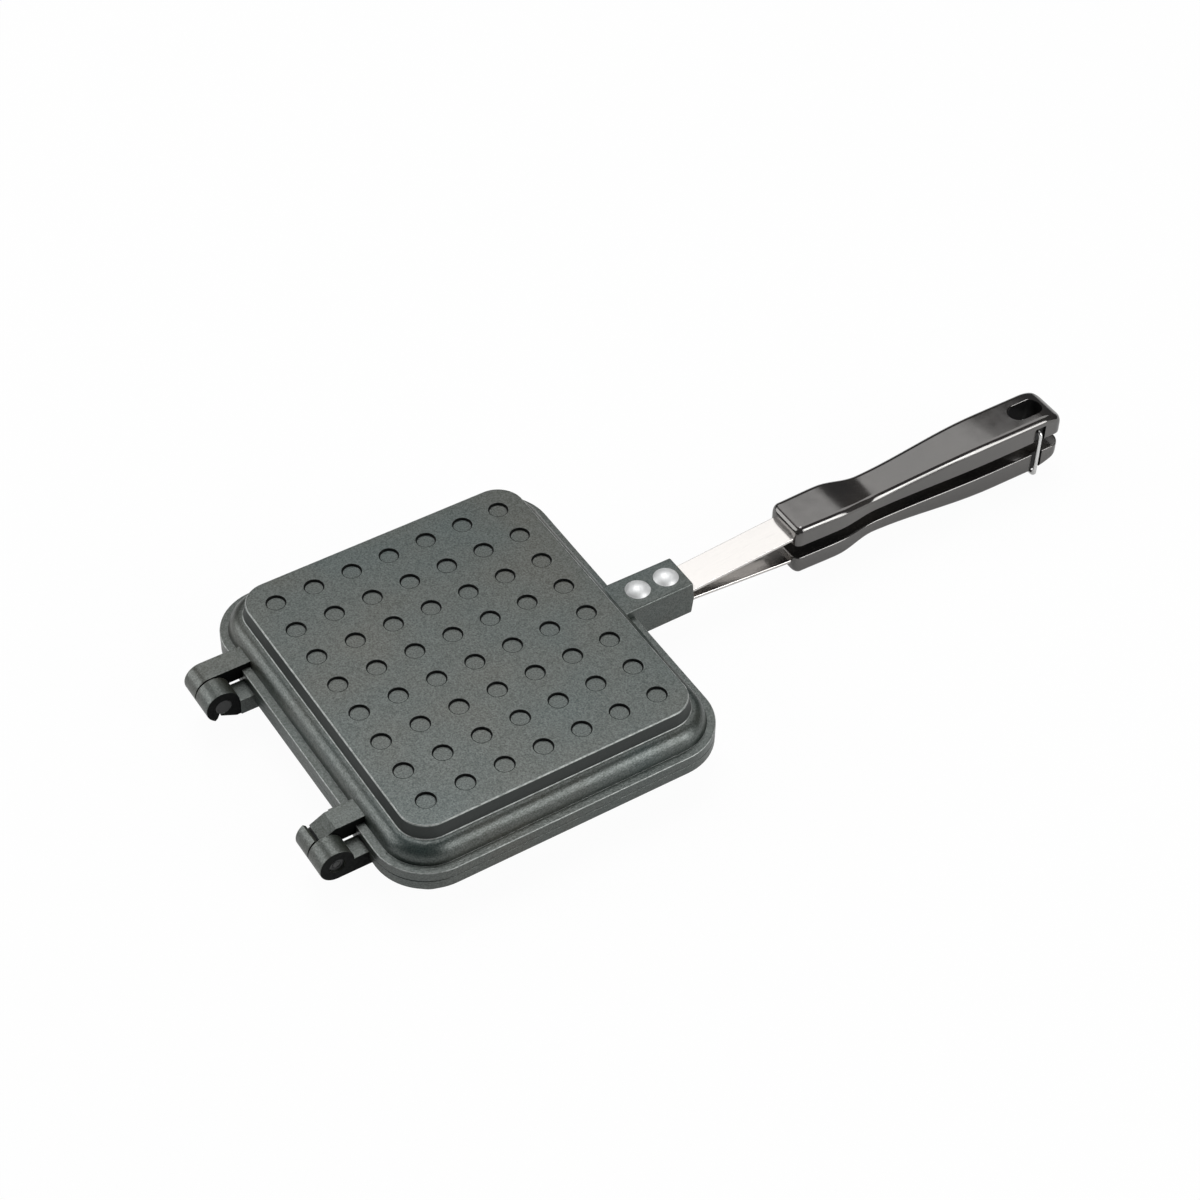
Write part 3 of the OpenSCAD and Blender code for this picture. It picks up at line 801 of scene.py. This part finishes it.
def strap_outline():
    slope = math.atan2(STRAP_Z1 - STRAP_Z0, BEND_X1 - BEND_X0)
    mitre = STRAP_T * math.tan(slope / 2)
    under = [(STRAP_X0, STRAP_Z0), (BEND_X0, STRAP_Z0), (BEND_X1, STRAP_Z1),
             (STRAP_X1, STRAP_Z1)]
    over = [(STRAP_X1, STRAP_Z1 + STRAP_T), (BEND_X1 - mitre, STRAP_Z1 + STRAP_T),
            (BEND_X0 - mitre, STRAP_Z0 + STRAP_T), (STRAP_X0, STRAP_Z0 + STRAP_T)]
    return rounded(under + over, [0, BEND_R, BEND_R, 0] * 2, steps=5, closed=True)


strap = prism("strap", strap_outline(), -STRAP_W / 2, STRAP_W / 2, STRAP_EDGE)
combine(strap, shank_cuts(STUB_H), "DIFFERENCE")
smooth(strap)
for half in HALVES:
    piece = half_piece(strap, half, f"{half}_strap_band")
    piece.data.materials.clear()
    piece.data.materials.append(strap_steel)
    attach(piece, f"{half}_half")
    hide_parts(f"{half}_strap")

# %% [markdown]
# ## Rivets
# Two rivets hold each strap. A rivet has a low domed head with a soft edge, a shank, and
# a flat tail that was formed under the strap. One is turned, and a recipe sets the pair
# out along the stub.

# %% Rivet recipe
row, source, target = recipe("Rivet row", [
    ("Count", "NodeSocketInt"), ("Start", "NodeSocketVector"), ("Step", "NodeSocketVector")])
nodes, links = row.nodes, row.links
places = nodes.new("GeometryNodeMeshLine")
copies = nodes.new("GeometryNodeInstanceOnPoints")
links.new(source.outputs["Count"], places.inputs["Count"])
links.new(source.outputs["Start"], places.inputs["Start Location"])
links.new(source.outputs["Step"], places.inputs["Offset"])
links.new(places.outputs[0], copies.inputs["Points"])
links.new(source.outputs["Shape"], copies.inputs["Instance"])
end_recipe(row, copies.outputs[0], source, target)

# %% Rivets
HEAD_R, HEAD_H, TAIL_R, TAIL_H = 5.1, 2.4, 3.8, 1.1
HEAD_BEVEL_R, HEAD_BEVEL_H, DOME_SHARE = 0.1, 0.08, 0.97
TAIL_EDGE_R, TAIL_ROOT_R, RIVET_SIDES = 0.3, 0.2, 48


def rivet_line():
    dome_r = (HEAD_R ** 2 + HEAD_H ** 2) / (2 * HEAD_H)
    lean = math.degrees(math.asin(HEAD_R / dome_r))
    dome = arc(0, STUB_H + HEAD_H - dome_r, dome_r, 90 - lean * DOME_SHARE, 90, 14)
    dome[-1] = (0, STUB_H + HEAD_H)
    tail_z = STRAP_Z0 - TAIL_H
    tail = rounded([(0, tail_z), (TAIL_R, tail_z), (TAIL_R, STRAP_Z0), (SHANK_R, STRAP_Z0)],
                   [0, TAIL_EDGE_R, TAIL_ROOT_R, 0], steps=3)
    return (tail + [(SHANK_R, STUB_H), (HEAD_R - HEAD_BEVEL_R, STUB_H),
                    (HEAD_R, STUB_H + HEAD_BEVEL_H)] + dome)


rivets = follow(turned("rivets", rivet_line(), RIVET_SIDES), row, rivet_metal, Count=2,
                Start=(RIVET_X[0], 0.0, 0.0), Step=(RIVET_X[1] - RIVET_X[0], 0.0, 0.0))
smooth(rivets)
for half in HALVES:
    piece = half_piece(rivets, half, f"{half}_rivet_pair")
    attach(piece, f"{half}_half")
    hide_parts(f"{half}_rivets")

# %% [markdown]
# ## Grips
# A grip starts as a block, dips at the neck where the thumb lies, swells again and ends in
# a rounded tail with a hanging hole. Its width and height are smooth functions of the
# distance along it, so it is lofted through many rounded sections. The lower grip's tail is
# rounded over a longer way than the upper one's. The strap's slot, the hole, the pockets
# for the wire and the notch for the crossbar are cut afterwards.

# %% Grip sizes
GRIP_L = 136.5
GRIP_X1 = GRIP_X0 + GRIP_L
GRIP_GAP = 3.2
BLOCK_W, BLOCK_H, NECK_W, NECK_H, TAIL_W, TAIL_Z = 20.4, 12.4, 16.3, 10.3, 19.6, 14.2
LONG_EDGE_R, INNER_EDGE_R = 2.7, 0.6
NECK_X0, NECK_X1 = GRIP_X0 + 21.0, GRIP_X0 + 41.0
RISE_X0, SWELL_X1 = NECK_X1 - 6.0, GRIP_X1 - 35.0
FRONT_W, FRONT_PLAN_R, FRONT_SIDE_R = BLOCK_W - 0.8, 3.0, 3.5
TAIL_PLAN_L, TAIL_PLAN_W, TAIL_INNER_R = 5.0, 8.0, 1.4
TAIL_SIDE_L, TAIL_SIDE_H = 11.7, 8.4
TAILS = {"upper": (TAIL_SIDE_L, TAIL_SIDE_H), "lower": (18.0, 9.0)}
HANG_X, HANG_L, HANG_W = GRIP_X1 - 15.0, 16.0, 8.8


# %% Grip sections
def ease(x, x0, x1, a, b):
    """Goes from a to b between x0 and x1, with a soft start and a soft end."""
    t = max(0.0, min(1.0, (x - x0) / (x1 - x0)))
    return a + (b - a) * (1 - math.cos(math.pi * t)) / 2


def round_off(d, length, height):
    """How much a quarter ellipse takes away at a distance d from the end."""
    u = max(0.0, min(1.0, 1 - d / length))
    return height * (1 - math.sqrt(1 - u * u))


def grip_half_width(x):
    return (ease(x, GRIP_X0, NECK_X0, FRONT_W / 2, BLOCK_W / 2)
            + ease(x, NECK_X0, NECK_X1, 0, (NECK_W - BLOCK_W) / 2)
            + ease(x, NECK_X1, SWELL_X1, 0, (TAIL_W - NECK_W) / 2)
            - round_off(x - GRIP_X0, FRONT_PLAN_R, FRONT_PLAN_R)
            - round_off(GRIP_X1 - x, TAIL_PLAN_L, TAIL_PLAN_W))


def grip_top(x, tail):
    return (BLOCK_H + ease(x, NECK_X0, NECK_X1, 0, NECK_H - BLOCK_H)
            + ease(x, RISE_X0, SWELL_X1, 0, TAIL_Z - NECK_H)
            - round_off(x - GRIP_X0, FRONT_SIDE_R, FRONT_SIDE_R)
            - round_off(GRIP_X1 - x, *tail))


def grip_bottom(x):
    return (GRIP_GAP + round_off(x - GRIP_X0, INNER_EDGE_R, INNER_EDGE_R)
            + round_off(GRIP_X1 - x, TAIL_INNER_R, TAIL_INNER_R))


def grip_section(x, tail):
    """A rounded section, whose radii shrink where the grip is thin."""
    w, t, b = grip_half_width(x), grip_top(x, tail), grip_bottom(x)
    r = min(LONG_EDGE_R, 0.8 * w, 0.6 * (t - b))
    s = min(INNER_EDGE_R, 0.3 * (t - b))
    line = (arc(w - s, b + s, s, -90, 0, 3) + arc(w - r, t - r, r, 0, 90, 10)
            + arc(r - w, t - r, r, 90, 180, 10) + arc(s - w, b + s, s, 180, 270, 3))
    return [(x, y, z) for y, z in line]


def grip_stations():
    """Where the sections are taken: close together where the ends are rounded."""
    front = [GRIP_X0 + FRONT_SIDE_R * (1 - math.cos(math.radians(90 * i / 10)))
             for i in range(11)]
    middle_x0, middle_x1 = GRIP_X0 + FRONT_SIDE_R, GRIP_X1 - TAIL_SIDE_L
    middle = [middle_x0 + (middle_x1 - middle_x0) * i / 60 for i in range(1, 60)]
    tail = [GRIP_X1 - TAIL_SIDE_L * (1 - math.sin(math.radians(89 * i / 20)))
            for i in range(21)]
    return front + middle + tail


# %% Cutters for the grips
BAIL_X, BAIL_Z, BAIL_L = GRIP_X1 - 14.5, 8.9, 23.1
WIRE_R, BAIL_IN = 0.85, 3.0
LEG_Y = TAIL_W / 2 + 0.4 + WIRE_R
POCKET_D, POCKET_X0, POCKET_L = 1.1, BAIL_X - WIRE_R - 1.0, 5.5
SWEEP_R = BAIL_L - WIRE_R - 0.4
HOLE_CHAMFER, HOLE_FLATNESS = 0.5, 0.3
BESIDE, BELOW, ABOVE, NOTCH_W, NOTCH_END = 12, 4, 30, 20, 40
# Finish index of the darker phenolic, painted shade in the hole and the pockets.
PHENOLIC_SHADE = 1


def mark_shaded_walls(cutter):
    """Marks a cutter's walls, so that what they cut gets the darker phenolic: painted shade."""
    mark(cutter, PHENOLIC_SHADE, lambda face: abs(face.normal.z) < HOLE_FLATNESS)
    return cutter


def hanging_hole():
    """An oblong cutter that flares where it leaves the grip's top."""
    reach = HANG_L / 2 - HANG_W / 2
    layers = ((-BELOW, 0.0), (0, 0.0), (TAIL_Z - HOLE_CHAMFER, 0.0),
              (TAIL_Z - 0.15, HOLE_CHAMFER * 0.4), (TAIL_Z + 0.05, HOLE_CHAMFER),
              (TAIL_Z + 4, HOLE_CHAMFER + 2))
    return loft("hanging_hole", [
        [(x, y, z) for x, y in arc(HANG_X + reach, 0, HANG_W / 2 + grow, -90, 90, 16)
         + arc(HANG_X - reach, 0, HANG_W / 2 + grow, 90, 270, 16)] for z, grow in layers])


def pockets(top):
    """A block beside each side of the tail, where the wire's leg lies."""
    floor_y = TAIL_W / 2 - POCKET_D
    cuts = []
    for y0, y1 in ((-BESIDE, -floor_y), (floor_y, BESIDE)):
        cuts.append(mark_shaded_walls(block("pocket", (POCKET_X0, y0, -THROUGH),
                               (POCKET_X0 + POCKET_L, y1, top))))
    return cuts


def sockets():
    """The two blind holes in which the wire's ends turn."""
    end_y = TAIL_W / 2 - BAIL_IN - 0.2
    return [rod("socket", BAIL_X, BAIL_Z, y0, y1, WIRE_R + 0.08, sides=24)
            for y0, y1 in ((-BESIDE, -end_y), (end_y, BESIDE))]


def crossbar_notch():
    """The space that the bail's crossbar sweeps, under the lower grip's tail."""
    line = [(x, z) for x, z in arc(BAIL_X, -BAIL_Z, SWEEP_R, 0, 90, 48) if x >= POCKET_X0]
    line += [(POCKET_X0, max(z for _, z in line)), (POCKET_X0, NOTCH_END),
             (BAIL_X + NOTCH_END, NOTCH_END), (BAIL_X + NOTCH_END, -BAIL_Z)]
    return prism("notch", line, -NOTCH_W, NOTCH_W)


# %% Cut and place the grips
for half in HALVES:
    grip = loft(f"{half}_grip_body", [grip_section(x, TAILS[half]) for x in grip_stations()])
    grip.data.materials.append(phenolic)
    grip.data.materials.append(shaded_phenolic)
    slot = prism("slot", strap_outline(), -STRAP_W / 2, STRAP_W / 2)
    cutters = [slot, mark_shaded_walls(hanging_hole())]
    if half == "upper":
        cutters += pockets(BAIL_Z + 2 * WIRE_R) + sockets()
    else:
        cutters += pockets(ABOVE) + [crossbar_notch()]
    combine(grip, cutters, "DIFFERENCE")
    smooth(grip, sharp=32)
    grip.data.transform(HALVES[half])
    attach(grip, f"{half}_half")
    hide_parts(f"{half}_grip")
    print(grip.name, len(grip.data.polygons), "faces")

# %% [markdown]
# ## Bail
# The bail is one bent wire. Its two ends turn in the upper grip, its legs hang down past
# the grips' sides, and its crossbar hooks under the lower grip's tail. The wire is a path,
# so a recipe sweeps a round section along it.

# %% Wire recipe
wire, source, target = recipe("Wire along a path", [
    ("Radius", "NodeSocketFloat"), ("Sides", "NodeSocketInt")])
nodes, links = wire.nodes, wire.links
as_curve = nodes.new("GeometryNodeMeshToCurve")
section = nodes.new("GeometryNodeCurvePrimitiveCircle")
tube = nodes.new("GeometryNodeCurveToMesh")
tube.inputs["Fill Caps"].default_value = True
links.new(source.outputs["Radius"], section.inputs["Radius"])
links.new(source.outputs["Sides"], section.inputs["Resolution"])
links.new(source.outputs["Shape"], as_curve.inputs[0])
links.new(as_curve.outputs[0], tube.inputs["Curve"])
links.new(section.outputs[0], tube.inputs["Profile Curve"])
end_recipe(wire, tube.outputs[0], source, target)

# %% Bail
WIRE_BEND_R = 2 * WIRE_R
path = rounded([(-(TAIL_W / 2 - BAIL_IN), 0), (-LEG_Y, 0), (-LEG_Y, -BAIL_L),
                (LEG_Y, -BAIL_L), (LEG_Y, 0), (TAIL_W / 2 - BAIL_IN, 0)],
               [0] + [WIRE_BEND_R] * 4 + [0], steps=8)
path_mesh = bpy.data.meshes.new("bail")
path_mesh.from_pydata([(BAIL_X, y, BAIL_Z + z) for y, z in path],
                      [(i, i + 1) for i in range(len(path) - 1)], [])
bail = follow(new_object("bail_wire_loop", path_mesh), wire, wire_steel, Radius=WIRE_R,
              Sides=20)
outward(bail.data)
smooth(bail, sharp=50)
bail.data.transform(TO_UPPER)
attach(bail, "bail")
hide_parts("bail")

# %% Put the drawings away
for used in (casting, pin, strap, rivets):
    bpy.data.objects.remove(used)

# %% [markdown]
# ## Stage
# The iron lies on a pale floor in a white room. Both look white to the camera, but the
# floor keeps a soft shadow and is only a weak light in the iron's reflections. Five panels
# light it. A broad one behind is what the flat tops reflect, and a small one high above
# brightens the roundings. In front, a tall narrow one draws the bright line along the grips
# and a softer one beside it lights the near sides. A low one on the left lights the hinge.

# %% Floor
FLOOR_HALF, FLOOR_Z = 6, -0.0004
FLOOR_WHITE, FLOOR_IN_MIRRORS = 0.96, 0.25

floor_mesh = bpy.data.meshes.new("floor")
floor_mesh.from_pydata([(-FLOOR_HALF, -FLOOR_HALF, FLOOR_Z), (FLOOR_HALF, -FLOOR_HALF, FLOOR_Z),
                        (FLOOR_HALF, FLOOR_HALF, FLOOR_Z), (-FLOOR_HALF, FLOOR_HALF, FLOOR_Z)],
                       [], [(0, 1, 2, 3)])
floor = new_object("floor", floor_mesh)
floor_paint, shader = finish("floor_paint", (0.82, 0.82, 0.82), metallic=0.0, roughness=0.9,
                             specular=0.1)
nodes, links = floor_paint.node_tree.nodes, floor_paint.node_tree.links
glow, mix = nodes.new("ShaderNodeEmission"), nodes.new("ShaderNodeMixShader")
rays, in_mirrors = nodes.new("ShaderNodeLightPath"), nodes.new("ShaderNodeMath")
in_mirrors.operation = "MULTIPLY"
in_mirrors.inputs[1].default_value = FLOOR_IN_MIRRORS
share = nodes.new("ShaderNodeMix")
share.inputs["B"].default_value = FLOOR_WHITE
links.new(rays.outputs["Is Glossy Ray"], in_mirrors.inputs[0])
links.new(rays.outputs["Is Camera Ray"], share.inputs["Factor"])
links.new(in_mirrors.outputs[0], share.inputs["A"])
links.new(share.outputs["Result"], mix.inputs["Fac"])
links.new(shader.outputs[0], mix.inputs[1])
links.new(glow.outputs[0], mix.inputs[2])
links.new(mix.outputs[0], nodes["Material Output"].inputs["Surface"])
floor.data.materials.append(floor_paint)

# %% Room
world = bpy.data.worlds.new("room")
bpy.context.scene.world = world
world.use_nodes = True
nodes, links = world.node_tree.nodes, world.node_tree.links
room = nodes["Background"]
room.inputs["Color"].default_value = (0.07, 0.07, 0.072, 1)
white = nodes.new("ShaderNodeBackground")
white.inputs["Color"].default_value = (1, 1, 1, 1)
rays, mix = nodes.new("ShaderNodeLightPath"), nodes.new("ShaderNodeMixShader")
links.new(rays.outputs["Is Camera Ray"], mix.inputs["Fac"])
links.new(room.outputs[0], mix.inputs[1])
links.new(white.outputs[0], mix.inputs[2])
links.new(mix.outputs[0], nodes["World Output"].inputs["Surface"])
bpy.context.scene.view_settings.view_transform = "Standard"

# %% Lamps
IRON_MIDDLE = Vector((0.08, 0, 0.02))


def panel(name, azimuth, elevation, distance, width, height, radiance):
    """A rectangular lamp seen from the iron's middle at that azimuth and elevation."""
    a, e = math.radians(azimuth), math.radians(elevation)
    way = Vector((math.sin(a) * math.cos(e), -math.cos(a) * math.cos(e), math.sin(e)))
    lamp = bpy.data.lights.new(name, "AREA")
    lamp.shape, lamp.size, lamp.size_y = "RECTANGLE", width, height
    lamp.energy = radiance * width * height * math.pi
    made = new_object(name, lamp)
    made.location = IRON_MIDDLE + way * distance
    made.rotation_mode = "QUATERNION"
    made.rotation_quaternion = way.to_track_quat("Z", "Y")


panel("back_panel", azimuth=147, elevation=56, distance=1.6, width=2.4, height=0.86,
      radiance=1.5)
panel("top_panel", azimuth=175, elevation=76, distance=1.6, width=0.8, height=0.8,
      radiance=4.6)
panel("front_panel", azimuth=34.7, elevation=20, distance=1.68, width=0.34, height=1.25,
      radiance=7)
panel("fill_panel", azimuth=20, elevation=30, distance=1.5, width=0.6, height=1.0,
      radiance=3.9)
panel("left_panel", azimuth=-122, elevation=22, distance=1.5, width=1.2, height=0.9,
      radiance=3.0)
